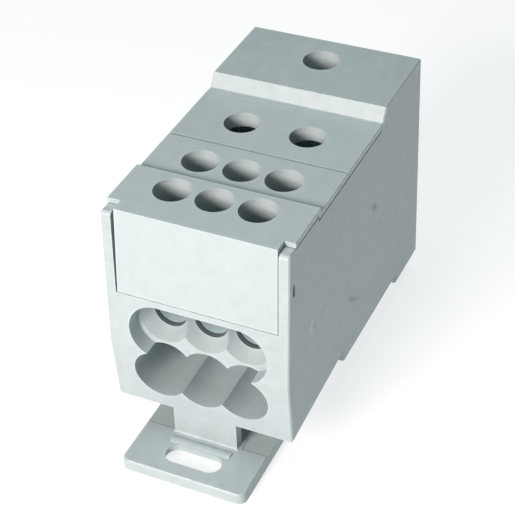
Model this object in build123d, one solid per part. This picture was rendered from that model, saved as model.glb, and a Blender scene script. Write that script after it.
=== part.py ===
"""Single-pole power distribution block for a 35 mm rail.

One thick input conductor and two medium ones enter at the rear, six thin outgoing
conductors at the front. Every conductor ends in a stepped metal terminal block and
is clamped by a headless screw that is reached through a hole in the top.

Millimetres. X runs across the block, Y from the wire front (-Y) to the rear, +Z up.
The origin is on the ground plane, in the middle of the outline seen from above.
"""
import os

from build123d import *

# Overall body
WIDTH = 36.0                 # two 18 mm rail modules
BODY_DEPTH = 68.5            # front face to the rear face, at its foot
REAR_LEAN = 1.9              # the rear face leans in by this much at the top
FRONT_LEAN = 1.6             # the front face leans back by this much at the top
CHIN_LEAN = 1.1              # the lower front leans back by this much at its foot
CHIN_Z = 22.3                # height where the two front slopes meet
WALL = 2.0                   # side walls
EDGE_BREAK = 0.25            # bevel that breaks the outer edges
RIM_ROUND = 0.2              # rounded edges of the snap cover's thin rims
SEAM = 0.15                  # gap between the snap cover and the housing

# Heights of the top faces, front to rear
TOP_1 = 52.05                # over the upper outgoing wires
STEP_DOWN = 0.85             # the face over the lower outgoing and the medium wires is lower
TOP_4 = 53.7                 # over the input wire
STEP_12 = 15.3               # depth where the first top face steps down
STEP_LAP = 1.0               # the seam beside it steps down this much further forward
GROOVE_23 = 28.0             # depth of the groove between second and third face
COVER_END = 44.65            # rear edge of the snap cover
RISER_FOOT = 45.6            # foot of the sloping riser up to the last face
RISER_RUN = 1.8              # depth of that riser
TOP_PLATE = 2.0              # thickness of the cover's plates
REAR_PLATE = 2.2             # thickness of the last top face
LEDGE = 1.5                  # the cover's rear edge rests on a ledge this wide
RISER_WALL = 0.5             # the riser's inner face lies this far behind its outer one

# Underside, which follows the rail
FRONT_SKIRT_Z = 8.5          # foot of the front face
SKIRT_RISE = 1.9             # the skirt rises by this much towards the rail
SKIRT_END = 26.5             # depth where the rail seat starts
SEAT_Z = 7.5                 # face that sits on the rail
REAR_SKIRT_Z = 5.4           # underside behind the rail
RAIL_WIDTH = 35.0            # standard top-hat rail
RAIL_SHEET = 1.0
RAIL_PLAY = 0.3
RAIL_STOP = 55.7             # depth of the rear edge of the rail
FLOOR_Z = 11.6               # top of the housing's floor
FLOOR = 1.7                  # thickness of the floor over the pockets
RIB = 1.6                    # ribs between the pockets
POCKET_COLUMNS = 3
POCKET_BAYS = 2

# Front wire entries
PITCH = 8.3                  # between neighbouring outgoing wires
LOW_R = 5.3                  # lower row of three channels
LOW_Z = 16.7
RECESS_R = 5.9               # long recess of the upper row
RECESS_SPAN = 15.8           # between the centres of its round ends
RECESS_Z = 26.8
RECESS_FLOOR = 3.5           # depth of the recess floor
RECESS_LIP_Z = 19.9          # between the channels the recess reaches down to here
UP_Z = 27.4                  # upper row of three bores
UP_MOUTH_R = 4.9             # funnels from the recess floor to the metal
UP_THROAT_R = 3.3
SEAM_Z = 34.2                # lower edge of the cover's front panel

# Rear wire entries
MID_PITCH = 13.4             # two medium channels
MID_R = 5.2
MID_Z = 16.9
INPUT_Z = 30.3
INPUT_MOUTH_R = 7.3
INPUT_THROAT_R = 6.1

# Terminal block: a bar with a stepped side outline, drilled from both ends
BLOCK_GAP = 0.3              # air between the metal and the plastic
BLOCK_FRONT = 6.6            # front end of the upper tier
BLOCK_LOW_FRONT = 16.6       # front end of the lower tier
BLOCK_LOW_REAR = 43.6
BLOCK_REAR = 65.0
BLOCK_FOOT = 11.9
UP_TIER_FOOT = 23.4
UP_TIER_TOP = 37.0
MAIN_TIER_TOP = 30.5
INPUT_TIER_FOOT = 23.4
INPUT_TIER_FRONT = 49.8
INPUT_TIER_TOP = 43.5
UP_BORE_R = 3.1
LOW_BORE_R = 3.4
MID_BORE_R = 4.3
INPUT_BORE_R = 5.5
BORE_PAST_SCREW = 4.6        # a bore ends this far behind its screw's axis

# Screw rows: depth of each row, screw radius, screw length
UP_ROW = 10.5
LOW_ROW = 21.6
MID_ROW = 36.1
INPUT_ROW = 59.0
SMALL_SCREW_R = 3.0
MID_SCREW_R = 4.0
INPUT_SCREW_R = 4.0
UP_SCREW_LENGTH = 7.5
LOW_SCREW_LENGTH = 12.0
MID_SCREW_LENGTH = 14.0
INPUT_SCREW_LENGTH = 11.0
THREAD_GAP = 0.05            # radial play of a screw in its hole
TIP_GAP = 1.65               # a screw that is turned right down stops this far above the bore's floor
TIP_CHAMFER = 0.6
SCREW_SLOT = 1.0
SCREW_SLOT_DEPTH = 1.8
MID_HEX = 4.0                # across the flats
INPUT_HEX = 5.0
HEX_DEPTH = 4.5

# Access holes in the top
UP_ACCESS_R = 3.55
MID_ACCESS_R = 3.5
INPUT_ACCESS_R = 3.7
COLLAR_WALL = 0.95           # walls under the top, round the holes
COLLAR_LENGTH = 3.8          # those over the outgoing screws reach this far below the top plate
MID_COLLAR_LENGTH = 1.0      # the same over the medium screws
INPUT_COLLAR_GAP = 0.2       # the wall over the open input screw ends this far above it

# Snap cover
NOTCH_DEPTH = 4.3            # the cover's rims start this far back
RIM = 1.0                    # height of the rims that lie on the side walls
PANEL_GAP_TOP = 0.75         # play on the left of the front panel, top and foot
PANEL_GAP_FOOT = 0.3
GUIDE_DEPTH = 31.0           # ribs that guide the cover between the walls
GUIDE_WIDTH = 2.4
GUIDE_LENGTH = 9.0
GUIDE_PROUD = 0.8
GUIDE_ROOT = 1.2             # the ribs reach this far in under the cover
LATCH_DEPTH = 3.1            # windows in the side walls for the cover's front latches
LATCH_DROP = 9.25            # their middle lies this far below the first top face
LATCH_WIDTH = 1.0
LATCH_HEIGHT = 2.6
LATCH_SINK = 0.7
GROOVE_WIDTH = 0.5
GROOVE_DEPTH = 0.3
WALL_CORNER_R = 0.9          # rounded upper front corners of the side walls

# Spring foot at the front and fixed hook at the rear
FOOT_REACH = 9.5             # in front of the body
FOOT_WIDTH = 25.4
FOOT_PLATE = 2.4
FOOT_CORNER_R = 1.6
FOOT_STEP = 0.15             # the plate is this much thinner behind its crease
FOOT_CREASE = 1.5            # depth of that crease, which runs round the neck
NECK_PAD = 0.8               # full thickness is kept this far round the neck
NECK_WIDTH = 13.0
NECK = 2.2
NECK_COVE = 0.5
FOOT_SLOT_LENGTH = 11.4
FOOT_SLOT_WIDTH = 4.4
FOOT_SLOT_AT = -4.3          # depth of its middle, in front of the front face
RIDGE_LENGTH = 12.4          # soft ridge along the rear of the slot
RIDGE_WIDTH = 2.0
RIDGE_HEIGHT = 0.3
RIDGE_GAP = 0.2              # between the slot and the ridge
POCKET_EDGE = 2.0            # rim left round the hollow under the plate
POCKET = 1.1                 # depth of that hollow
HOOK_WIDTH = 18.0
HOOK_POST = 2.5
HOOK_LIP = 1.5
HOOK_GAP = 0.15              # between a hook and the rail
HOOK_FACE = 1.3              # height of the flat end of a hook's lip
HOOK_SLOPE = 1.5             # height of the slope below it
REAR_HOOK_WIDTH = 22.0
REAR_HOOK_LIP = 1.8
REAR_HOOK_POST = 4.0
REAR_HOOK_TOE = 1.0          # the post's foot starts this far behind the rail
GUSSET = 2.0
GUSSET_RUN = 6.0

HALF = WIDTH / 2
INNER = HALF - WALL
TOP_2 = TOP_1 - STEP_DOWN    # height of the second and third top faces
FRONT = FOOT_REACH - (FOOT_REACH + BODY_DEPTH) / 2    # Y of the front face
FAR = 100.0                  # longer than anything here


def front_face(z):
    """Depth of the leaning front face at height z above the chin."""
    return FRONT_LEAN * (z - CHIN_Z) / (TOP_1 - CHIN_Z)


def rear_face(z):
    """Depth of the leaning rear face at height z."""
    return BODY_DEPTH - REAR_LEAN * (z - REAR_SKIRT_Z) / (TOP_4 - REAR_SKIRT_Z)


def slab(outline, half_width):
    """A side outline of (depth, height) points, widened equally to both sides."""
    points = [(FRONT + depth, height) for depth, height in outline]
    return extrude(Plane.YZ * make_face(Polyline(*points, close=True)), half_width, both=True)


def box(x0, x1, depth0, depth1, z0, z1):
    """An upright block between two corners."""
    block = Box(x1 - x0, depth1 - depth0, z1 - z0, align=Align.MIN)
    return Pos(x0, FRONT + depth0, z0) * block


def rod(x, z, radius, depth0, depth1, end_radius=None):
    """A round bar or cone that lies along Y."""
    length = depth1 - depth0
    low = (Align.CENTER, Align.CENTER, Align.MIN)
    if end_radius is None:
        shape = Cylinder(radius, length, align=low)
    else:
        shape = Cone(radius, end_radius, length, align=low)
    return Pos(x, FRONT + depth0, z) * Rot(-90, 0, 0) * shape


def post(x, depth, radius, z0, z1):
    """A round bar that stands upright."""
    low = (Align.CENTER, Align.CENTER, Align.MIN)
    return Pos(x, FRONT + depth, z0) * Cylinder(radius, z1 - z0, align=low)


def row(pitch, count):
    """X places of a row that is centred on the block."""
    return [pitch * (i - (count - 1) / 2) for i in range(count)]


OUT_X = row(PITCH, 3)
MID_X = row(MID_PITCH, 2)


def side_edges(solid):
    """The outline edges of the two side faces."""
    left = solid.faces().sort_by(Axis.X)[0].edges()
    right = solid.faces().sort_by(Axis.X)[-1].edges()
    return left + right


def housing_shell():
    """Outer form of the housing, up to the tops of its side walls."""
    wall_1 = TOP_1 - RIM - SEAM
    wall_2 = TOP_2 - RIM - SEAM
    skirt_end_z = FRONT_SKIRT_Z + SKIRT_RISE
    outline = [
        (CHIN_LEAN, FRONT_SKIRT_Z), (0, CHIN_Z), (front_face(wall_1), wall_1),
        (STEP_12 - STEP_LAP, wall_1), (STEP_12 - STEP_LAP, wall_2), (COVER_END + SEAM, wall_2),
        (COVER_END + SEAM, TOP_2), (RISER_FOOT, TOP_2), (RISER_FOOT + RISER_RUN, TOP_4),
        (rear_face(TOP_4), TOP_4), (BODY_DEPTH, REAR_SKIRT_Z), (RAIL_STOP, REAR_SKIRT_Z),
        (RAIL_STOP, SEAT_Z), (SKIRT_END, SEAT_Z), (SKIRT_END, skirt_end_z),
    ]
    shell = slab(outline, HALF)
    top_front = [
        e for e in shell.edges().filter_by(Axis.X)
        if e.center().Z > CHIN_Z + 1 and e.center().Y < FRONT + NOTCH_DEPTH
    ]
    shell = fillet(top_front, WALL_CORNER_R)
    return chamfer(side_edges(shell), EDGE_BREAK)


def housing_cavity():
    """Room for the terminal block, open at the top and upper front for the cover."""
    ledge_z = TOP_2 - TOP_PLATE - SEAM
    shelf = UP_TIER_FOOT - BLOCK_GAP
    rear_shelf = INPUT_TIER_FOOT - BLOCK_GAP
    ceiling = TOP_4 - REAR_PLATE
    riser = RISER_FOOT + RISER_WALL
    outline = [
        (BLOCK_LOW_FRONT - BLOCK_GAP, FLOOR_Z), (BLOCK_LOW_REAR + BLOCK_GAP, FLOOR_Z),
        (BLOCK_LOW_REAR + BLOCK_GAP, rear_shelf), (BLOCK_REAR + BLOCK_GAP, rear_shelf),
        (BLOCK_REAR + BLOCK_GAP, ceiling), (riser + RISER_RUN, ceiling), (riser, ledge_z),
        (riser, ledge_z - TOP_PLATE), (COVER_END - LEDGE, ledge_z - TOP_PLATE),
        (COVER_END - LEDGE, ledge_z),
        (COVER_END + SEAM, ledge_z), (COVER_END + SEAM, FAR), (-FAR, FAR),
        (-FAR, SEAM_Z - SEAM), (BLOCK_FRONT - BLOCK_GAP, SEAM_Z - SEAM),
        (BLOCK_FRONT - BLOCK_GAP, shelf), (BLOCK_LOW_FRONT - BLOCK_GAP, shelf),
    ]
    return slab(outline, INNER)


def front_entries():
    """Three round channels below, and a long recess with three funnels above."""
    back = BLOCK_LOW_FRONT - BLOCK_GAP + 0.1
    cut = [rod(x, LOW_Z, LOW_R, -1, back) for x in OUT_X]
    recess = Plane((0, FRONT - 1, RECESS_Z), x_dir=(1, 0, 0), z_dir=(0, 1, 0)) \
        * SlotCenterToCenter(RECESS_SPAN, 2 * RECESS_R)
    cut.append(extrude(recess, RECESS_FLOOR + 1))
    cut.append(box(-PITCH, PITCH, -1, RECESS_FLOOR, RECESS_LIP_Z, RECESS_Z))
    for x in OUT_X:
        throat = BLOCK_FRONT - BLOCK_GAP
        cut.append(rod(x, UP_Z, UP_MOUTH_R, RECESS_FLOOR, throat, UP_THROAT_R))
        cut.append(rod(x, UP_Z, UP_THROAT_R, throat - 0.1, throat + 0.1))
    return cut


def rear_entries():
    """Two medium channels below and the input funnel above."""
    start = BLOCK_LOW_REAR + BLOCK_GAP - 0.1
    cut = [rod(x, MID_Z, MID_R, start, BODY_DEPTH + 1) for x in MID_X]
    throat = BLOCK_REAR + BLOCK_GAP - 0.1
    cut.append(rod(0, INPUT_Z, INPUT_THROAT_R, throat, BODY_DEPTH, INPUT_MOUTH_R))
    return cut


def guide_grooves(clearance):
    """Upright grooves in the side walls, or with no clearance the ribs that run in them."""
    half = GUIDE_WIDTH / 2 + clearance
    foot = TOP_2 - TOP_PLATE - GUIDE_LENGTH - clearance
    parts = []
    for side in (-1, 1):
        inner = INNER - GUIDE_ROOT
        outer = INNER + GUIDE_PROUD - SEAM + clearance
        x0, x1 = sorted((side * inner, side * outer))
        parts.append(box(x0, x1, GUIDE_DEPTH - half, GUIDE_DEPTH + half, foot, TOP_2 - RIM / 2))
    return parts


def latch_windows():
    """Small upright oval windows near the front edge of both side walls."""
    cut = []
    for side in (-1, 1):
        place = Plane((side * (HALF + 1), FRONT + LATCH_DEPTH, TOP_1 - LATCH_DROP), x_dir=(0, 0, 1),
                      z_dir=(-side, 0, 0))
        cut.append(extrude(place * SlotOverall(LATCH_HEIGHT, LATCH_WIDTH), LATCH_SINK + 1))
    return cut


def underside_pockets():
    """Cored-out pockets under the floor, with ribs left between them."""
    start = SKIRT_END + RIB
    column = (2 * INNER + RIB) / POCKET_COLUMNS
    bay = (RAIL_STOP - start) / POCKET_BAYS
    cut = []
    for i in range(POCKET_COLUMNS):
        x0 = i * column - INNER
        for j in range(POCKET_BAYS):
            depth0 = start + j * bay
            cut.append(box(x0, x0 + column - RIB, depth0, depth0 + bay - RIB,
                           SEAT_Z - 1, FLOOR_Z - FLOOR))
    return cut


def spring_foot():
    """Neck, plate with its slot, and the hook that snaps under the rail."""
    half = FOOT_WIDTH / 2
    plate_rear = RAIL_STOP - RAIL_WIDTH - RAIL_PLAY
    plate = box(-half, half, -FOOT_REACH, plate_rear, 0, FOOT_PLATE)
    corners = plate.edges().filter_by(Axis.Z).group_by(Axis.Y)[0]
    plate = fillet(corners, FOOT_CORNER_R)
    plate = chamfer(plate.faces().sort_by(Axis.Z)[-1].edges(), EDGE_BREAK)
    neck = box(-NECK_WIDTH / 2, NECK_WIDTH / 2, CHIN_LEAN, CHIN_LEAN + NECK,
               FOOT_PLATE / 2, FRONT_SKIRT_Z + 1)
    foot = plate + neck
    base = [
        e for e in foot.edges().filter_by(GeomType.LINE)
        if abs(e.center().Z - FOOT_PLATE) < 0.01
        and abs(e.center().X) <= NECK_WIDTH / 2 + 0.01
        and FRONT + CHIN_LEAN - 0.01 <= e.center().Y <= FRONT + CHIN_LEAN + NECK + 0.01
    ]
    foot = fillet(base, NECK_COVE)
    pad = NECK_WIDTH / 2 + NECK_PAD
    for x0, x1 in ((-half - 1, -pad), (pad, half + 1)):
        foot -= box(x0, x1, FOOT_CREASE, plate_rear + 1, FOOT_PLATE - FOOT_STEP, FOOT_PLATE + 1)
    foot -= box(-pad - 1, pad + 1, CHIN_LEAN + NECK + NECK_PAD, plate_rear + 1,
                FOOT_PLATE - FOOT_STEP, FOOT_PLATE + 1)
    ridge_r = (RIDGE_WIDTH ** 2 / 4 + RIDGE_HEIGHT ** 2) / (2 * RIDGE_HEIGHT)
    ridge_at = FOOT_SLOT_AT + FOOT_SLOT_WIDTH / 2 + RIDGE_GAP + RIDGE_WIDTH / 2
    ridge = Pos(0, FRONT + ridge_at, FOOT_PLATE + RIDGE_HEIGHT - ridge_r) \
        * Rot(0, 90, 0) * Cylinder(ridge_r, RIDGE_LENGTH)
    ridge &= box(-half, half, -FOOT_REACH, plate_rear, FOOT_PLATE / 2, FAR)
    slot = Pos(0, FRONT + FOOT_SLOT_AT, -1) \
        * extrude(SlotOverall(FOOT_SLOT_LENGTH, FOOT_SLOT_WIDTH), FOOT_PLATE + 2)
    flange = SEAT_Z - RAIL_SHEET - HOOK_GAP
    hook = slab([
        (plate_rear - HOOK_POST, FOOT_PLATE / 2), (plate_rear, FOOT_PLATE / 2),
        (plate_rear, flange - HOOK_FACE - HOOK_SLOPE), (plate_rear + HOOK_LIP, flange - HOOK_FACE),
        (plate_rear + HOOK_LIP, flange), (plate_rear - HOOK_POST, flange),
    ], HOOK_WIDTH / 2)
    pocket = box(-half + POCKET_EDGE, half - POCKET_EDGE, POCKET_EDGE - FOOT_REACH,
                 CHIN_LEAN - POCKET_EDGE, -1, POCKET)
    return foot + ridge + hook - slot - pocket


def rear_hook():
    """Fixed hook behind the rail, with two gussets. Its foot stands on the ground."""
    flange = SEAT_Z - RAIL_SHEET - HOOK_GAP
    rear = RAIL_STOP + REAR_HOOK_POST
    hook = slab([
        (RAIL_STOP - REAR_HOOK_LIP, flange - HOOK_FACE), (RAIL_STOP - REAR_HOOK_LIP, flange),
        (RAIL_STOP, flange), (RAIL_STOP, REAR_SKIRT_Z + 1), (rear, REAR_SKIRT_Z + 1),
        (rear, 0), (RAIL_STOP + REAR_HOOK_TOE, 0), (RAIL_STOP, flange - HOOK_FACE - HOOK_SLOPE),
    ], REAR_HOOK_WIDTH / 2)
    for side in (-1, 1):
        edge = side * REAR_HOOK_WIDTH / 2
        gusset = slab([(rear - 0.5, 0.8), (rear - 0.5, REAR_SKIRT_Z + 0.5),
                       (rear + GUSSET_RUN, REAR_SKIRT_Z + 0.5)], GUSSET / 2)
        hook += Pos(edge - side * GUSSET / 2, 0, 0) * gusset
    return hook


def collar(xs, depth, access_r, under, length):
    """A wall below a top plate, round a row of access holes, that leads a tool to its screws."""
    outer = access_r + COLLAR_WALL
    foot = under - length
    head = under + TOP_PLATE / 2
    if len(xs) == 1:
        return post(xs[0], depth, outer, foot, head)
    outline = SlotCenterToCenter(xs[-1] - xs[0], 2 * outer)
    return Pos(0, FRONT + depth, foot) * extrude(outline, head - foot)


def make_housing():
    """The moulded housing with its spring foot and fixed rail hook."""
    housing = housing_shell() - housing_cavity()
    housing -= front_entries()
    housing -= rear_entries()
    housing -= guide_grooves(SEAM)
    housing -= latch_windows()
    housing -= underside_pockets()
    ceiling = TOP_4 - REAR_PLATE
    screw_head = INPUT_Z + INPUT_BORE_R + INPUT_SCREW_LENGTH
    housing += collar([0], INPUT_ROW, INPUT_ACCESS_R, ceiling,
                      ceiling - screw_head - INPUT_COLLAR_GAP)
    housing -= post(0, INPUT_ROW, INPUT_ACCESS_R, INPUT_TIER_TOP, FAR)
    return housing + spring_foot() + rear_hook()


def rim_plate(depth0, depth1, top):
    """A thin plate that lies on both side walls, with its upper side edges rounded."""
    plate = box(-HALF, HALF, depth0, depth1, top - RIM, top)
    return fillet(plate.edges().filter_by(Axis.Y).group_by(Axis.Z)[-1], RIM_ROUND)


def make_cover():
    """The L-shaped snap cover: three top faces and the upper front panel."""
    under_1 = TOP_1 - TOP_PLATE
    under_2 = TOP_2 - TOP_PLATE
    panel = [
        (front_face(SEAM_Z), SEAM_Z), (front_face(TOP_1), TOP_1), (STEP_12, TOP_1),
        (STEP_12, TOP_2), (COVER_END, TOP_2), (COVER_END, under_2),
        (STEP_12 - TOP_PLATE, under_2), (STEP_12 - TOP_PLATE, under_1),
        (front_face(under_1) + TOP_PLATE, under_1),
        (front_face(SEAM_Z) + TOP_PLATE, SEAM_Z),
    ]
    right = INNER - SEAM
    front_view = make_face(Polyline(
        (PANEL_GAP_FOOT - INNER, SEAM_Z), (right, SEAM_Z), (right, TOP_1),
        (PANEL_GAP_TOP - INNER, TOP_1), close=True))
    taper = extrude(Plane.XZ.offset(-FRONT - FAR) * front_view, 2 * FAR)
    cover = slab(panel, HALF) & taper
    lap = STEP_12 - STEP_LAP + SEAM
    cover += rim_plate(NOTCH_DEPTH, STEP_12, TOP_1)
    cover += rim_plate(STEP_12, COVER_END, TOP_2)
    cover += box(-HALF, HALF, lap, STEP_12 + RIM, TOP_2 - RIM, TOP_2 - RIM_ROUND)
    cover += guide_grooves(0)
    cover += collar(OUT_X, UP_ROW, UP_ACCESS_R, under_1, COLLAR_LENGTH)
    cover += collar(OUT_X, LOW_ROW, UP_ACCESS_R, under_2, COLLAR_LENGTH)
    cover += collar(MID_X, MID_ROW, MID_ACCESS_R, under_2, MID_COLLAR_LENGTH)
    cover -= [post(x, UP_ROW, UP_ACCESS_R, 0, FAR) for x in OUT_X]
    cover -= [post(x, LOW_ROW, UP_ACCESS_R, 0, FAR) for x in OUT_X]
    cover -= [post(x, MID_ROW, MID_ACCESS_R, 0, FAR) for x in MID_X]
    return cover - box(-FAR, FAR, GROOVE_23 - GROOVE_WIDTH / 2, GROOVE_23 + GROOVE_WIDTH / 2,
                       TOP_2 - GROOVE_DEPTH, FAR)


def make_terminal_block():
    """The stepped metal bar with its wire bores and threaded screw holes."""
    bar = slab([
        (BLOCK_FRONT, UP_TIER_FOOT), (BLOCK_LOW_FRONT, UP_TIER_FOOT),
        (BLOCK_LOW_FRONT, BLOCK_FOOT), (BLOCK_LOW_REAR, BLOCK_FOOT),
        (BLOCK_LOW_REAR, INPUT_TIER_FOOT), (BLOCK_REAR, INPUT_TIER_FOOT),
        (BLOCK_REAR, INPUT_TIER_TOP), (INPUT_TIER_FRONT, INPUT_TIER_TOP),
        (INPUT_TIER_FRONT, MAIN_TIER_TOP), (BLOCK_LOW_FRONT, MAIN_TIER_TOP),
        (BLOCK_LOW_FRONT, UP_TIER_TOP), (BLOCK_FRONT, UP_TIER_TOP),
    ], INNER - BLOCK_GAP)
    for x in OUT_X:
        bar -= rod(x, UP_Z, UP_BORE_R, BLOCK_FRONT - 1, UP_ROW + BORE_PAST_SCREW)
        bar -= post(x, UP_ROW, SMALL_SCREW_R, UP_Z, FAR)
    for x in OUT_X:
        bar -= rod(x, LOW_Z, LOW_BORE_R, BLOCK_LOW_FRONT - 1, LOW_ROW + BORE_PAST_SCREW)
        bar -= post(x, LOW_ROW, SMALL_SCREW_R, LOW_Z, FAR)
    for x in MID_X:
        bar -= rod(x, MID_Z, MID_BORE_R, MID_ROW - BORE_PAST_SCREW - 1, BLOCK_LOW_REAR + 1)
        bar -= post(x, MID_ROW, MID_SCREW_R, MID_Z, FAR)
    bar -= rod(0, INPUT_Z, INPUT_BORE_R, INPUT_ROW - BORE_PAST_SCREW - 2, BLOCK_REAR + 1)
    bar -= post(0, INPUT_ROW, INPUT_SCREW_R, INPUT_Z, FAR)
    return bar


def make_screw(x, depth, radius, length, tip_z, hexagon=None):
    """A headless clamp screw with a chamfered tip and a slot or hexagon socket."""
    body_r = radius - THREAD_GAP
    screw = post(x, depth, body_r, tip_z, tip_z + length)
    screw = chamfer(screw.faces().sort_by(Axis.Z)[0].edges(), TIP_CHAMFER)
    head = tip_z + length
    if hexagon is None:
        return screw - box(x - radius, x + radius, depth - SCREW_SLOT / 2,
                           depth + SCREW_SLOT / 2, head - SCREW_SLOT_DEPTH, head + 1)
    socket = extrude(RegularPolygon(hexagon / 2, 6, major_radius=False), HEX_DEPTH + 1)
    return screw - Pos(x, FRONT + depth, head - HEX_DEPTH) * socket


def make_screws():
    """Outgoing screws of the upper row are turned down, all the others stand open."""
    screws = {}
    names = ("left", "centre", "right")
    up_tip = UP_Z - UP_BORE_R + TIP_GAP
    for name, x in zip(names, OUT_X):
        screws[f"upper_screw_{name}"] = make_screw(
            x, UP_ROW, SMALL_SCREW_R, UP_SCREW_LENGTH, up_tip)
    for name, x in zip(names, OUT_X):
        screws[f"lower_screw_{name}"] = make_screw(
            x, LOW_ROW, SMALL_SCREW_R, LOW_SCREW_LENGTH, LOW_Z + LOW_BORE_R)
    for name, x in zip(("left", "right"), MID_X):
        screws[f"medium_screw_{name}"] = make_screw(
            x, MID_ROW, MID_SCREW_R, MID_SCREW_LENGTH, MID_Z + MID_BORE_R, MID_HEX)
    screws["input_screw"] = make_screw(
        0, INPUT_ROW, INPUT_SCREW_R, INPUT_SCREW_LENGTH, INPUT_Z + INPUT_BORE_R, INPUT_HEX)
    return screws


nodes = {
    "housing": make_housing(),
    "snap_cover": make_cover(),
    "terminal_block": make_terminal_block(),
}
nodes.update(make_screws())

os.makedirs("parts", exist_ok=True)
for name, shape in nodes.items():
    export_step(shape, f"parts/{name}.step")
    print(name, len(shape.solids()), round(shape.volume, 1))
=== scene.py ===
# %% [markdown]
# # A power distribution block, dressed for its portrait
# The block is a moulded grey housing that clips on a rail. One thick cable feeds a
# metal bar inside it, and nine screws clamp the cables. The solids already have the
# real shapes and sizes, so this lesson gives them a camera, light and finishes, and
# makes again the pieces whose fine shape the solids leave out: the threaded screws.
#
# We load the solids first.

# %% Load the frame
import math

import bpy
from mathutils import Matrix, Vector


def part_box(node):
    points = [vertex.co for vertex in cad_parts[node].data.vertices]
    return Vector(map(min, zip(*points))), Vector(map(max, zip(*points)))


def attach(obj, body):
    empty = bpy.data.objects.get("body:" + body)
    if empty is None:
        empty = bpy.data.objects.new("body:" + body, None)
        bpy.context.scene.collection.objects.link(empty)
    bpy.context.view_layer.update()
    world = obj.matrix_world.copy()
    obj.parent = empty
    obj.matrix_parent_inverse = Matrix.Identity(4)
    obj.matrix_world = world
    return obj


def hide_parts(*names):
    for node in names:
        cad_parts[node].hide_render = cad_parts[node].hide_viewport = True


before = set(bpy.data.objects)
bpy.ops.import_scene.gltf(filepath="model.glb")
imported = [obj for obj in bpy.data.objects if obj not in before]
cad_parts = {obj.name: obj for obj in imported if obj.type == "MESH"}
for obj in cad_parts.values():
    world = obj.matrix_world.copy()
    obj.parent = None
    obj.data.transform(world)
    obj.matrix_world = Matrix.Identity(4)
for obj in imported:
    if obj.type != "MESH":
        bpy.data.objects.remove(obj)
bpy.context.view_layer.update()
MM = 0.001
PER_MM = 1000.0
FRONT = -29.5 * MM  # where the front face stands
print("pieces:", ", ".join(sorted(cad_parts)))

# %% [markdown]
# ## The camera
# A photograph of a small object, taken from a short distance with a long lens, has
# gentle perspective. We could place the camera by eye. Here it is placed by numbers
# that were fitted to corners and hole centres in the photograph, because then the
# render can be laid over it. The small middle angle is the camera's roll.

# %% Place the camera
CAMERA_PLACE = (96.81, -203.07, 199.75)  # millimetres
CAMERA_TURN = (52.281, 1.770, 24.439)  # degrees
camera_data = bpy.data.cameras.new("portrait_camera")
camera_data.sensor_width = 36.0
camera_data.lens = 102.54
camera_data.clip_start = 0.01
camera = bpy.data.objects.new("portrait_camera", camera_data)
camera.location = Vector(CAMERA_PLACE) * MM
camera.rotation_euler = [math.radians(angle) for angle in CAMERA_TURN]
bpy.context.collection.objects.link(camera)
bpy.context.scene.camera = camera
print("camera stands", round(camera.location.length, 3), "m from the block")

# %% [markdown]
# ## The floor
# A catalogue picture stands on white, with hardly a shadow. We could light a white
# sheet harder, but then the block burns out with it. So the floor is a light table: it
# glows, stays white in the shadow of the block, and lights the side walls from below.


# %% Make the floor
def plain_mesh(name, points, faces):
    """A mesh object from points in metres."""
    mesh = bpy.data.meshes.new(name)
    mesh.from_pydata(points, [], faces)
    mesh.update()
    thing = bpy.data.objects.new(name, mesh)
    bpy.context.collection.objects.link(thing)
    return thing


reach = 3.0
corners = [(-reach, -reach, 0), (reach, -reach, 0), (reach, reach, 0), (-reach, reach, 0)]
floor = plain_mesh("floor", corners, [(0, 1, 2, 3)])
table = bpy.data.materials.new("light_table")
table.use_nodes = True
glow = table.node_tree.nodes["Principled BSDF"].inputs
glow["Base Color"].default_value = (0.30, 0.30, 0.30, 1)
glow["Roughness"].default_value = 0.9
glow["Emission Color"].default_value = (0.98, 1, 1, 1)
glow["Emission Strength"].default_value = 0.75
floor.data.materials.append(table)
print("floor is", 2 * reach, "m wide")

# %% [markdown]
# ## The lamps
# In the photograph the front of the block is nearly white, its top is grey and the
# right side darker still, and the top gets darker towards the rear. Light fades so fast
# only near its lamp. So a softbox of 18 cm stands half a metre in front, a little to the
# left, and a wider, weaker lamp overhead helps the top faces. More lamps would lift the
# shadows further, but then every face gets as bright and the form is lost. The picture
# keeps its whites with the plain Standard view, which has no film curve.


# %% Hang the lamps
def lamp(name, place, aim, width, power, tint):
    """A square area lamp that stands at place and looks at aim, in metres and watts."""
    data = bpy.data.lights.new(name, "AREA")
    data.shape = "SQUARE"
    data.size = width
    data.energy = power
    data.color = tint
    thing = bpy.data.objects.new(name, data)
    thing.location = place
    direction = Vector(aim) - Vector(place)
    thing.rotation_euler = direction.to_track_quat("-Z", "Y").to_euler()
    bpy.context.collection.objects.link(thing)
    return thing


MIDDLE = (0, 0, 0.025)
WARM = (1.0, 0.88, 0.865)
COOL = (0.89, 1.0, 1.0)
lamps = [
    lamp("key_lamp", (-0.09, -0.49, 0.265), MIDDLE, 0.18, 4.25, WARM),
    lamp("overhead_lamp", (-0.02, 0.0, 0.56), MIDDLE, 0.3, 1.2, COOL),
]
world = bpy.data.worlds.new("pale_room")
world.use_nodes = True
room = world.node_tree.nodes["Background"]
room.inputs["Color"].default_value = (0.86, 0.99, 1.0, 1)
room.inputs["Strength"].default_value = 0.08
bpy.context.scene.world = world
bpy.context.scene.view_settings.view_transform = "Standard"
print("lamps:", [thing.name for thing in lamps])

# %% [markdown]
# ## Helpers for node trees
# Shader and geometry trees are made of the same steps: add a node, set some values,
# link some sockets. One helper does all three, and a few more name the nodes that come
# again and again, so the cells below read like the sums that they do.


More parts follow.
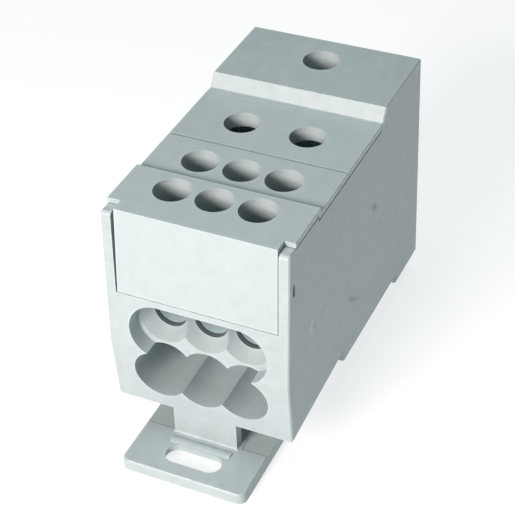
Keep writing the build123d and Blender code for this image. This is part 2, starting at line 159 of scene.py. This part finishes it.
# %% One helper for every node
def add(tree, kind, settings=None, **sockets):
    """Adds a node. A socket's value is a number, a colour, or another node's output.

    A socket goes by its name, with _ for a space, or by its place, as in i0 or i1.
    """
    node = tree.nodes.new(kind)
    for key, value in (settings or {}).items():
        setattr(node, key, value)
    for key, value in sockets.items():
        by_place = key[0] == "i" and key[1:].isdigit()
        socket = node.inputs[int(key[1:]) if by_place else key.replace("_", " ")]
        if isinstance(value, bpy.types.NodeSocket):
            tree.links.new(value, socket)
        else:
            socket.default_value = value
    return node


print("nodes can be added")


# %% Names for sums
def maths(tree, operation, *values, **settings):
    """Adds a Math node and returns its output."""
    sockets = {f"i{place}": value for place, value in enumerate(values)}
    settings["operation"] = operation
    return add(tree, "ShaderNodeMath", settings, **sockets).outputs[0]


def map_range(tree, value, start, end, to_start=0.0, to_end=1.0, **settings):
    """Turns start..end into to_start..to_end and stays inside it."""
    node = add(
        tree, "ShaderNodeMapRange", settings, Value=value,
        From_Min=start, From_Max=end, To_Min=to_start, To_Max=to_end,
    )
    return node.outputs[0]


def scaled(tree, colour, gain):
    """Multiplies a colour by one number."""
    node = add(tree, "ShaderNodeVectorMath", {"operation": "SCALE"}, i0=colour, Scale=gain)
    return node.outputs[0]


print("sums can be added")


# %% Names for places and noise
def stretched(tree, where, stretch):
    """Scales a place along each axis."""
    return add(tree, "ShaderNodeMapping", Vector=where, Scale=stretch).outputs[0]


def noise(tree, where, scale, detail, roughness=0.5):
    """A cloudy value round 0.5, with scale clouds to the metre."""
    node = add(
        tree, "ShaderNodeTexNoise", Vector=where, Scale=scale, Detail=detail, Roughness=roughness
    )
    return node.outputs["Fac"]


def distance(tree, first, second):
    """How far two places are apart."""
    node = add(tree, "ShaderNodeVectorMath", {"operation": "DISTANCE"}, i0=first, i1=second)
    return node.outputs["Value"]


def object_place(tree):
    """The place of the shaded point in the object's own coordinates, in metres."""
    return add(tree, "ShaderNodeTexCoord").outputs["Object"]


print("places and noise can be added")

# %% [markdown]
# ## Shader groups
# An effect that more than one material needs is a group: a box of nodes with named
# inputs and outputs, made once and set differently in each material. We could copy the
# nodes into every material, but then a change has to be made everywhere.


# %% Start a group
def shader_group(name, inputs, outputs):
    """An empty shader group. A number input is a float, three are a place, four a colour."""
    kinds = {1: "NodeSocketFloat", 3: "NodeSocketVector", 4: "NodeSocketColor"}
    tree = bpy.data.node_groups.new(name, "ShaderNodeTree")
    for label, value in inputs.items():
        kind = kinds[len(value) if isinstance(value, tuple) else 1]
        socket = tree.interface.new_socket(label, in_out="INPUT", socket_type=kind)
        socket.default_value = value
    for label in outputs:
        kind = kinds[4 if label == "Colour" else 1]
        tree.interface.new_socket(label, in_out="OUTPUT", socket_type=kind)
    given = tree.nodes.new("NodeGroupInput").outputs
    return tree, given, tree.nodes.new("NodeGroupOutput").inputs


def put_out(tree, out, **results):
    """Links the results of a group to its outputs."""
    for label, socket in results.items():
        tree.links.new(socket, out[label])
    print("group", tree.name, "has", len(tree.nodes), "nodes")
    return tree


print("groups can be made")

# %% [markdown]
# ## What a moulded surface is made of
# A tool for grey polyamide is spark-eroded, so the part has a fine even grain, and the
# plastic is never quite one colour: glass fibre and flow leave it cloudy, and finely
# speckled. These effects belong in every moulded material here, so they are one shader
# group. We could paint them as pictures, but noise in Object coordinates needs no
# unwrapping and keeps its real size in millimetres on every piece.

# %% Moulded surface group
CLOUDS_PER_M = 55.0
STREAKS_PER_M = 160.0
STREAK_STRETCH = (1.0, 1.0, 0.25)  # four times as long upwards
SPECKLES_PER_M = 500.0
FLOW_STRETCH = (1.0, 0.6, 1.0)  # a little longer from front to rear
ROUGHNESS_SWING = 0.12


def build_moulded_group():
    """Cloudy colour, grain height and roughness for spark-eroded plastic."""
    tree, given, out = shader_group(
        "moulded_surface",
        {
            "Colour": (0.6, 0.63, 0.63, 1),
            "Cloud Amount": 0.05,
            "Speckle Amount": 0.2,
            "Grain per mm": 3.0,
            "Roughness": 0.5,
        },
        ["Colour", "Roughness", "Height"],
    )
    where = object_place(tree)
    cloud = noise(tree, where, CLOUDS_PER_M, 3.0, 0.6)
    streak = noise(tree, stretched(tree, where, STREAK_STRETCH), STREAKS_PER_M, 2.0)
    swing = maths(tree, "SUBTRACT", maths(tree, "ADD", cloud, streak), 1.0)
    gain = maths(tree, "MULTIPLY_ADD", swing, given["Cloud Amount"], 1.0)
    speckle = noise(tree, stretched(tree, where, FLOW_STRETCH), SPECKLES_PER_M, 2.0, 0.55)
    speckle = maths(tree, "SUBTRACT", speckle, 0.5)
    gain = maths(tree, "MULTIPLY_ADD", speckle, given["Speckle Amount"], gain)
    grain_scale = maths(tree, "MULTIPLY", given["Grain per mm"], PER_MM)
    return put_out(
        tree,
        out,
        Colour=scaled(tree, given["Colour"], gain),
        Roughness=maths(tree, "MULTIPLY_ADD", swing, ROUGHNESS_SWING, given["Roughness"]),
        Height=noise(tree, where, grain_scale, 2.0, 0.55),
    )


moulded_surface = build_moulded_group()

# %% [markdown]
# ## Painted edge highlights and corner shade
# The outer edges get a painted highlight, a little lighter, and the grooves and corners of
# recesses get painted shade. Ambient occlusion finds both: cast outwards it is dark in
# the corners, and cast inwards it is dark along the edges.

# %% Edge and corner group
EDGE_REACH = 0.8 * MM
EDGE_LIGHT = (0.9, 0.45)  # occlusion where the painted edge highlight starts and where it is full
CORNER_REACH = 2.5 * MM
CORNER_LIGHT = (0.75, 0.15)  # the same for the painted corner shade
RAYS = 8


def blend_colours(tree, share, first, second):
    """Mixes a share of the second colour into the first."""
    settings = {"data_type": "RGBA"}
    return add(tree, "ShaderNodeMix", settings, i0=share, i6=first, i7=second).outputs[2]


def build_edge_group():
    """Paints a highlight along outer edges and shade into corners, by mixing in a light and a dark
    colour.
    """
    tree, given, out = shader_group(
        "painted_edge_light_and_corner_shade",
        {
            "Colour": (0.6, 0.6, 0.6, 1),
            "Edge Colour": (0.9, 0.9, 0.9, 1),
            "Edge Amount": 0.3,
            "Corner Colour": (0.2, 0.2, 0.2, 1),
            "Corner Amount": 0.3,
        },
        ["Colour"],
    )
    kind = "ShaderNodeAmbientOcclusion"
    edge = add(tree, kind, {"inside": True, "samples": RAYS}, Distance=EDGE_REACH)
    corner = add(tree, kind, {"samples": RAYS}, Distance=CORNER_REACH)
    edge = map_range(tree, edge.outputs["AO"], *EDGE_LIGHT)
    corner = map_range(tree, corner.outputs["AO"], *CORNER_LIGHT)
    edge = maths(tree, "MULTIPLY", edge, given["Edge Amount"])
    corner = maths(tree, "MULTIPLY", corner, given["Corner Amount"])
    # painted highlight along outer edges, then painted shade in corners
    edge_highlighted = blend_colours(tree, edge, given["Colour"], given["Edge Colour"])
    corner_shaded = blend_colours(tree, corner, edge_highlighted, given["Corner Colour"])
    return put_out(tree, out, Colour=corner_shaded)


painted_edge_light_and_corner_shade = build_edge_group()

# %% [markdown]
# ## Witness marks
# The photographed wall has a few faint marks where the mould let go of it: two curved
# drag marks, a scratch, pale streaks and small dark spots. Each is part of a shallow
# ring, so one group draws a ring and keeps only what lies near one spot of it. A whole
# disc is a ring of no radius, and a scratch is part of a very large one. They could be
# cut into the wall, but they are very shallow, so the shade and light of their relief
# are painted into the colour: darker for painted shade, paler for painted light. The
# marks repeat on the other wall, as the two halves of a mould do.

# %% Witness mark group
WALL_FROM = 17.9 * MM  # the side walls lie further out than this
SOFT = {"interpolation_type": "SMOOTHSTEP"}


def build_witness_group():
    """Mask of a soft ring round Centre, kept only near Spot, on the two side walls."""
    tree, given, out = shader_group(
        "witness_mark",
        {
            "Centre": (0, 0, 0),
            "Radius": 4 * MM,
            "Width": 0.5 * MM,
            "Spot": (0, 0, 0),
            "Reach": 3 * MM,
        },
        ["Mask"],
    )
    where = object_place(tree)
    node = add(tree, "ShaderNodeVectorMath", {"operation": "MULTIPLY"}, i0=where, i1=(0, 1, 1))
    flat = node.outputs[0]
    off_ring = maths(tree, "SUBTRACT", distance(tree, flat, given["Centre"]), given["Radius"])
    off_ring = maths(tree, "ABSOLUTE", off_ring)
    ring = map_range(tree, off_ring, given["Width"], 0.0, **SOFT)
    near = map_range(tree, distance(tree, flat, given["Spot"]), given["Reach"], 0.0, **SOFT)
    sideways = add(tree, "ShaderNodeSeparateXYZ", Vector=where).outputs["X"]
    on_wall = maths(tree, "GREATER_THAN", maths(tree, "ABSOLUTE", sideways), WALL_FROM)
    mask = maths(tree, "MULTIPLY", maths(tree, "MULTIPLY", ring, near), on_wall)
    return put_out(tree, out, Mask=mask)


witness_mark = build_witness_group()


# %% Where the marks are
def on_side(depth, height):
    """A place on a side wall: depth behind the front face and height, in millimetres."""
    return (0, FRONT + depth * MM, height * MM)


# Centre of the ring, its radius and width, the kept spot and its reach in
# millimetres, and how much darker (painted shade) or paler (painted light), as measured in the
# photograph
SIDE_MARKS_WITH_SHADE = [
    ((37.0, 27.5), 9.8, 0.9, (31.0, 19.8), 5.5, -0.40),
    ((14.0, 28.5), 3.6, 0.7, (10.6, 28.8), 3.0, 0.22),
    ((59.3, 58.9), 30.0, 1.0, (41.6, 34.7), 3.6, -0.35),
    ((42.0, 34.3), 0.0, 2.0, (42.0, 34.3), 2.2, -0.30),
    ((44.6, 28.8), 0.0, 1.5, (44.6, 28.8), 1.8, -0.18),
    ((12.1, 28.0), 0.0, 1.0, (12.1, 28.0), 1.2, -0.35),
    ((40.1, 18.3), 0.0, 1.6, (40.1, 18.9), 1.8, 0.25),
    ((14.9, 30.2), 0.0, 1.2, (14.9, 31.0), 1.8, 0.22),
]


def mark_sides_with_shade_and_light(tree, colour):
    """Darkens or pales a colour under the witness marks: painted shade and painted light of their
    shallow relief.
    """
    for centre, radius, width, spot, reach_of_mark, change in SIDE_MARKS_WITH_SHADE:
        mark = add(
            tree, "ShaderNodeGroup", {"node_tree": witness_mark},
            Centre=on_side(*centre), Radius=radius * MM, Width=width * MM,
            Spot=on_side(*spot), Reach=reach_of_mark * MM,
        )
        # painted shade or painted light of each shallow mark
        gain = maths(tree, "MULTIPLY_ADD", mark.outputs["Mask"], change, 1.0)
        colour = scaled(tree, colour, gain)
    return colour


print(len(SIDE_MARKS_WITH_SHADE), "witness marks")

# %% [markdown]
# ## A dark band across the block
# Two places get painted shade, darker than the light alone makes them: the narrow groove
# in the top, and the bar's edge round its bores, where the metal meets the plastic. Both
# run straight across, so a group can tell them by their place: it dims a colour within a
# band. Occlusion would find the groove too, but not how dark it is.


# %% Dark band group
def build_painted_shade_band_group():
    """Paints shade: dims a colour in a band that runs across at Place, Width wide and below Top."""
    tree, given, out = shader_group(
        "painted_shade_band",
        {
            "Colour": (0.6, 0.6, 0.6, 1),
            "Place": 0.0,
            "Width": 0.5 * MM,
            "Top": 50 * MM,
            "Keep": 0.5,
        },
        ["Colour"],
    )
    split = add(tree, "ShaderNodeSeparateXYZ", Vector=object_place(tree)).outputs
    off = maths(tree, "ABSOLUTE", maths(tree, "SUBTRACT", split["Y"], given["Place"]))
    inside = maths(tree, "LESS_THAN", off, maths(tree, "MULTIPLY", given["Width"], 0.5))
    below = maths(tree, "LESS_THAN", split["Z"], given["Top"])
    mask = maths(tree, "MULTIPLY", inside, below)
    # painted shade: inside the band the colour is dimmed to Keep
    gain = map_range(tree, mask, 0.0, 1.0, 1.0, given["Keep"])
    return put_out(tree, out, Colour=scaled(tree, given["Colour"], gain))


painted_shade_band = build_painted_shade_band_group()


def darkened(tree, colour, band):
    """Runs a colour through the painted shade band group."""
    node = add(tree, "ShaderNodeGroup", {"node_tree": painted_shade_band}, Colour=colour, **band)
    return node.outputs["Colour"]


print("a band can be darkened")

# %% [markdown]
# ## Moulded plastic
# The housing and the cover are moulded from the same grey polyamide, in two tools, so
# they differ a little in shade and gloss. Each material takes the moulded surface, gets a
# painted highlight on its edges and painted shade in its corners, and adds what only that
# piece has: the marks on the housing's walls, or the painted shade in the cover's groove.
# The grain is a bump, because it is 0.06 mm high.

# %% Plastics
EDGE_PALER = 1.25
CORNER_DARKER = 0.35
EDGE_AMOUNT = 0.35
CORNER_AMOUNT = 0.10
POLYAMIDE_IOR = 1.52
GRAIN_HEIGHT = 0.06 * MM
# painted shade along the narrow groove in the top
GROOVE_SHADE_BAND = {"Place": FRONT + 28.0 * MM, "Width": 0.52 * MM, "Top": 51.19 * MM, "Keep": 0.80}


def moulded_material(name, colour, cloud, speckle, roughness, marked=False, grooved=False):
    """Spark-eroded plastic, with its grain as a bump of real height."""
    material = bpy.data.materials.new(name)
    material.use_nodes = True
    tree = material.node_tree
    shader = tree.nodes["Principled BSDF"].inputs
    surface = add(
        tree, "ShaderNodeGroup", {"node_tree": moulded_surface},
        Colour=(*colour, 1), Cloud_Amount=cloud, Speckle_Amount=speckle, Roughness=roughness,
    ).outputs
    # painted highlight on outer edges and painted shade in corners
    edges = add(
        tree, "ShaderNodeGroup", {"node_tree": painted_edge_light_and_corner_shade},
        Colour=surface["Colour"],
        Edge_Colour=(*[min(1.0, part * EDGE_PALER) for part in colour], 1),
        Corner_Colour=(*[part * CORNER_DARKER for part in colour], 1),
        Edge_Amount=EDGE_AMOUNT, Corner_Amount=CORNER_AMOUNT,
    )
    finished = edges.outputs["Colour"]
    # painted shade and painted light of the wall marks
    if marked:
        finished = mark_sides_with_shade_and_light(tree, finished)
    # painted shade in the groove
    if grooved:
        finished = darkened(tree, finished, GROOVE_SHADE_BAND)
    bump = add(
        tree, "ShaderNodeBump", Height=surface["Height"], Distance=GRAIN_HEIGHT, Strength=0.6
    )
    tree.links.new(finished, shader["Base Color"])
    tree.links.new(surface["Roughness"], shader["Roughness"])
    tree.links.new(bump.outputs["Normal"], shader["Normal"])
    shader["IOR"].default_value = POLYAMIDE_IOR
    return material


housing_plastic = moulded_material(
    "housing_plastic", (0.379, 0.451, 0.457), 0.10, 0.20, 0.48, marked=True
)
cover_plastic = moulded_material(
    "cover_plastic", (0.398, 0.472, 0.478), 0.07, 0.14, 0.45, grooved=True
)
print("plastics:", housing_plastic.name, cover_plastic.name)

# %% [markdown]
# ## Metal with the marks of its making
# The bar is sawn and drilled brass under a dull coat of tin, and the screws are turned
# steel under bright zinc. Metal shows its making as fine lines in one direction. A
# noise that is stretched along one axis gives lines of uneven depth, which look more
# like a cutter's path than regular waves do.

# %% Tool mark group
PLATING_PER_M = 420.0
PLATING_PATCH = (0.35, 0.7)  # noise where the plating starts to dull and is dullest
LINE_ROUGHNESS = 0.18


def build_tool_mark_group():
    """Lines along the axis that is scaled down, with cloudy plating over them."""
    tree, given, out = shader_group(
        "tool_marks",
        {
            "Colour": (0.6, 0.6, 0.6, 1),
            "Stretch": (0.02, 1.0, 1.0),
            "Lines per mm": 6.0,
            "Dulling": 0.2,
            "Roughness": 0.3,
        },
        ["Colour", "Roughness", "Height"],
    )
    where = object_place(tree)
    settings = {"operation": "MULTIPLY"}
    along = add(tree, "ShaderNodeVectorMath", settings, i0=where, i1=given["Stretch"])
    line_scale = maths(tree, "MULTIPLY", given["Lines per mm"], PER_MM)
    lines = noise(tree, along.outputs[0], line_scale, 3.0)
    patch = map_range(tree, noise(tree, where, PLATING_PER_M, 4.0, 0.65), *PLATING_PATCH)
    shade = maths(tree, "MULTIPLY", patch, given["Dulling"])
    rough = maths(tree, "MULTIPLY_ADD", lines, LINE_ROUGHNESS, given["Roughness"])
    return put_out(
        tree,
        out,
        Colour=scaled(tree, given["Colour"], maths(tree, "SUBTRACT", 1.0, shade)),
        Roughness=maths(tree, "ADD", rough, shade, use_clamp=True),
        Height=lines,
    )


tool_marks = build_tool_mark_group()

# %% [markdown]
# ## Tin and zinc
# Matt tin scatters the light almost like paint, so the bar is only half metallic, and
# the bright zinc of the screws is wholly so. Where the bar's bores meet the plastic there
# is a shadow gap, and in the picture that is the thin dark arc at the foot of each bore.
# We could model the gap, but the band of the group above paints its shade into the
# metal's colour instead.

# %% Metals
# painted shade of the shadow gap where the bar's bores meet the plastic
MOUTH_SHADE_BAND = {"Place": FRONT + 6.6 * MM, "Width": 1.3 * MM, "Top": 32.5 * MM, "Keep": 0.20}


def metal_material(name, colour, lines, dulling, roughness, mark_height, metallic, mouth=False):
    """Plated metal. Lines are their stretch and their number to the millimetre."""
    material = bpy.data.materials.new(name)
    material.use_nodes = True
    tree = material.node_tree
    shader = tree.nodes["Principled BSDF"].inputs
    stretch, lines_per_mm = lines
    marks = add(
        tree, "ShaderNodeGroup", {"node_tree": tool_marks},
        Colour=(*colour, 1), Stretch=stretch, Lines_per_mm=lines_per_mm,
        Dulling=dulling, Roughness=roughness,
    ).outputs
    # painted shade at the mouths of the bores
    finished = darkened(tree, marks["Colour"], MOUTH_SHADE_BAND) if mouth else marks["Colour"]
    bump = add(
        tree, "ShaderNodeBump", Height=marks["Height"], Distance=mark_height, Strength=0.5
    )
    tree.links.new(finished, shader["Base Color"])
    tree.links.new(marks["Roughness"], shader["Roughness"])
    tree.links.new(bump.outputs["Normal"], shader["Normal"])
    shader["Metallic"].default_value = metallic
    return material


tinned_brass = metal_material(
    "tinned_brass", (0.65, 0.80, 0.82), ((0.03, 1.0, 1.0), 5.0), 0.20, 0.42, 0.02 * MM, 0.45,
    mouth=True,
)
zinc_steel = metal_material(
    "zinc_steel", (0.66, 0.67, 0.69), ((1.0, 1.0, 0.05), 6.0), 0.15, 0.18, 0.01 * MM, 1.0
)
print("metals:", tinned_brass.name, zinc_steel.name)

# %% [markdown]
# ## Threaded screws
# Nine headless screws sit in the bar. The solids are smooth, because a thread would
# cost them thousands of faces, so we make threaded ones to stand for them. A thread is
# a rule: its radius depends on the height and the angle. That suits Geometry Nodes. A
# grid is rolled into a tube, its radius follows the thread, the first and last rows
# shrink to points to close the ends, and a slot or a hexagon is cut into the top.

# %% Sizes that a screw is given
SCREW_INPUTS = {
    "Place": ("Vector", (0, 0, 0)),
    "Radius": ("Float", 3 * MM),
    "Length": ("Float", 10 * MM),
    "Pitch": ("Float", 1 * MM),
    "Thread Depth": ("Float", 0.5 * MM),
    "Tip Chamfer": ("Float", 0.6 * MM),
    "Top Chamfer": ("Float", 0.3 * MM),
    "Drive Sides": ("Int", 4),
    "Drive Radius": ("Float", 2 * MM),
    "Drive Stretch": ("Float", 1.0),
    "Drive Depth": ("Float", 2 * MM),
}
AROUND = 48  # faces round the screw
PER_TURN = 10.0  # rows of faces in one turn of the thread
END_ROWS = 4.0
CREST = (0.12, 0.85)  # share of half a pitch where the flank starts and ends
CUTTER = 4 * MM  # length of the cylinder that cuts the drive
print("a screw is given", ", ".join(SCREW_INPUTS))


# %% The thread as a rule
def thread_profile(tree, given, turn, height):
    """Radius of the screw at a turn and height, with both ends chamfered."""
    pitches = maths(tree, "DIVIDE", height, given["Pitch"])
    phase = maths(tree, "FRACT", maths(tree, "SUBTRACT", pitches, turn))
    ramp = maths(tree, "ABSOLUTE", maths(tree, "MULTIPLY_ADD", phase, 2.0, -1.0))
    cut = maths(tree, "MULTIPLY", map_range(tree, ramp, *CREST), given["Thread Depth"])
    thread = maths(tree, "SUBTRACT", given["Radius"], cut)
    at_tip = maths(tree, "SUBTRACT", given["Radius"], given["Tip Chamfer"])
    at_top = maths(tree, "SUBTRACT", given["Radius"], given["Top Chamfer"])
    left_over = maths(tree, "SUBTRACT", given["Length"], height)
    foot = maths(tree, "ADD", at_tip, height)
    head = maths(tree, "ADD", at_top, left_over)
    return maths(tree, "MINIMUM", thread, maths(tree, "MINIMUM", foot, head))


print("the flank takes", round(CREST[1] - CREST[0], 2), "of half a pitch")


# %% Roll the tube
def roll_tube(tree, given):
    """A closed threaded tube, rolled from a flat grid one metre wide."""
    turns = maths(tree, "DIVIDE", given["Length"], given["Pitch"])
    rows = maths(tree, "MULTIPLY_ADD", turns, PER_TURN, END_ROWS)
    grid = add(
        tree, "GeometryNodeMeshGrid", Size_X=1.0, Size_Y=1.0, Vertices_X=AROUND + 1, Vertices_Y=rows
    )
    position = add(tree, "GeometryNodeInputPosition").outputs[0]
    flat = add(tree, "ShaderNodeSeparateXYZ", Vector=position).outputs
    turn = maths(tree, "ADD", flat["X"], 0.5)
    last = maths(tree, "SUBTRACT", rows, 1.0)
    step = maths(tree, "MULTIPLY", maths(tree, "ADD", flat["Y"], 0.5), last)
    share = map_range(tree, step, 1.0, maths(tree, "SUBTRACT", rows, 2.0))
    height = maths(tree, "MULTIPLY", share, given["Length"])
    radius = thread_profile(tree, given, turn, height)
    before_last = maths(tree, "SUBTRACT", rows, 1.5)
    after_first = maths(tree, "GREATER_THAN", step, 0.5)
    open_row = maths(tree, "MULTIPLY", after_first, maths(tree, "LESS_THAN", step, before_last))
    radius = maths(tree, "MULTIPLY", radius, open_row)
    angle = maths(tree, "MULTIPLY", turn, -math.tau)
    ring = add(
        tree, "ShaderNodeCombineXYZ",
        X=maths(tree, "MULTIPLY", radius, maths(tree, "COSINE", angle)),
        Y=maths(tree, "MULTIPLY", radius, maths(tree, "SINE", angle)),
        Z=height,
    )
    rolled = add(
        tree, "GeometryNodeSetPosition", Geometry=grid.outputs["Mesh"], Position=ring.outputs[0]
    )
    tight = 0.0004 * MM
    merged = add(tree, "GeometryNodeMergeByDistance", Geometry=rolled.outputs[0], Distance=tight)
    return merged.outputs[0]


print("a thread has", AROUND, "faces round it and", int(PER_TURN), "rows to a turn")


# %% The slot or hexagon
def cut_drive(tree, given, body):
    """Cuts a slot or a hexagon, which is a cylinder of few sides, into the top."""
    drive = add(
        tree, "GeometryNodeMeshCylinder",
        Vertices=given["Drive Sides"], Radius=given["Drive Radius"], Depth=CUTTER,
    )
    floor_of_cut = maths(tree, "SUBTRACT", given["Length"], given["Drive Depth"])
    middle_of_cut = maths(tree, "ADD", floor_of_cut, CUTTER / 2)
    turned = add(
        tree, "GeometryNodeTransform", Geometry=drive.outputs["Mesh"],
        Translation=add(tree, "ShaderNodeCombineXYZ", Z=middle_of_cut).outputs[0],
        Rotation=(0, 0, math.pi / 4),
    )
    stretch = add(tree, "ShaderNodeCombineXYZ", X=given["Drive Stretch"], Y=1.0, Z=1.0)
    long_drive = add(
        tree, "GeometryNodeTransform", Geometry=turned.outputs[0], Scale=stretch.outputs[0]
    )
    cut = add(tree, "GeometryNodeMeshBoolean", {"operation": "DIFFERENCE", "solver": "EXACT"})
    tree.links.new(body, cut.inputs["Mesh 1"])
    tree.links.new(long_drive.outputs[0], cut.inputs["Mesh 2"])
    return cut.outputs["Mesh"]


print("the drive is cut by a cylinder", round(CUTTER / MM, 1), "mm long")


# %% Screw tree
def build_screw_tree():
    """A headless screw with a real thread, standing at Place."""
    tree = bpy.data.node_groups.new("threaded_screw", "GeometryNodeTree")
    face = tree.interface
    for label, (kind, value) in SCREW_INPUTS.items():
        socket = face.new_socket(label, in_out="INPUT", socket_type="NodeSocket" + kind)
        socket.default_value = value
    face.new_socket("Material", in_out="INPUT", socket_type="NodeSocketMaterial")
    face.new_socket("Geometry", in_out="OUTPUT", socket_type="NodeSocketGeometry")
    given = tree.nodes.new("NodeGroupInput").outputs
    out = tree.nodes.new("NodeGroupOutput").inputs
    last = cut_drive(tree, given, roll_tube(tree, given))
    for kind, sockets in (
        ("GeometryNodeSetShadeSmooth", {}),
        ("GeometryNodeTransform", {"Translation": given["Place"]}),
        ("GeometryNodeRealizeInstances", {}),
        ("GeometryNodeSetMaterial", {"Material": given["Material"]}),
    ):
        last = add(tree, kind, Geometry=last, **sockets).outputs[0]
    tree.links.new(last, out["Geometry"])
    return tree


screw_tree = build_screw_tree()
print("screw tree has", len(screw_tree.nodes), "nodes")

# %% [markdown]
# ## The nine screws
# The small screws have a slot, and the thicker ones a hexagon. The place, radius and
# length of each come from the solid that it stands for, so it sits in its hole with
# no fitting. The tree is run once for each screw and its result kept as a plain mesh,
# because an export knows nothing of Geometry Nodes.


# %% Run the tree once
def plain_copy_of_tree(name, tree, values):
    """Runs a geometry tree once and keeps its result as a plain mesh object."""
    seed = bpy.data.objects.new(name + "_seed", bpy.data.meshes.new(name + "_seed"))
    bpy.context.collection.objects.link(seed)
    modifier = seed.modifiers.new("tree", "NODES")
    modifier.node_group = tree
    for item in tree.interface.items_tree:
        if item.item_type == "SOCKET" and item.in_out == "INPUT" and item.name in values:
            modifier[item.identifier] = values[item.name]
    evaluated = seed.evaluated_get(bpy.context.evaluated_depsgraph_get())
    mesh = bpy.data.meshes.new_from_object(evaluated)
    seed.modifiers.clear()
    bpy.data.objects.remove(seed)
    mesh.name = name
    thing = bpy.data.objects.new(name, mesh)
    bpy.context.collection.objects.link(thing)
    return thing


print("a tree can be run")


# %% Four kinds of screw
def slotted(pitch, depth, slot_width=1.0, slot_depth=1.8):
    """A square of the slot's width, stretched across the whole screw."""
    return {
        "Pitch": pitch * MM,
        "Thread Depth": depth * MM,
        "Drive Sides": 4,
        "Drive Radius": slot_width / 2 * math.sqrt(2) * MM,
        "Drive Stretch": 8.0,
        "Drive Depth": slot_depth * MM,
    }


def hexagonal(pitch, depth, across_flats, hexagon_depth=4.5):
    """A hexagon, which is a cylinder of six sides."""
    return {
        "Pitch": pitch * MM,
        "Thread Depth": depth * MM,
        "Drive Sides": 6,
        "Drive Radius": across_flats / math.sqrt(3) * MM,
        "Drive Depth": hexagon_depth * MM,
    }


screw_kinds = {
    "upper": slotted(1.0, 0.50),
    "lower": slotted(1.0, 0.50),
    "medium": hexagonal(1.25, 0.62, 4.0),
    "input": hexagonal(1.5, 0.75, 5.0),
}
print("kinds of screw:", ", ".join(screw_kinds))

# %% Make the screws
for node in sorted(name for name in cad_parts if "screw" in name):
    low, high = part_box(node)
    values = {
        **screw_kinds[node.split("_")[0]],
        "Place": ((low[0] + high[0]) / 2, (low[1] + high[1]) / 2, low[2]),
        "Radius": (high[0] - low[0]) / 2,
        "Length": high[2] - low[2],
        "Material": zinc_steel,
    }
    screw = plain_copy_of_tree("threaded_" + node, screw_tree, values)
    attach(screw, node)
    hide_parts(node)
    print(screw.name, len(screw.data.polygons), "faces")

# %% [markdown]
# ## Finishes for the pieces that stay
# The housing, the cover and the bar keep their solids, because those already have the
# real form. They only need their finish, which goes into the slots of each object.


# %% Give the solids their finish
def finish_node(node, material):
    """Puts one material on every slot of a solid."""
    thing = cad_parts[node]
    if not thing.material_slots:
        thing.data.materials.append(material)
    for slot in thing.material_slots:
        slot.material = material
    print(node, "is finished in", material.name)


finish_node("housing", housing_plastic)
finish_node("snap_cover", cover_plastic)
finish_node("terminal_block", tinned_brass)
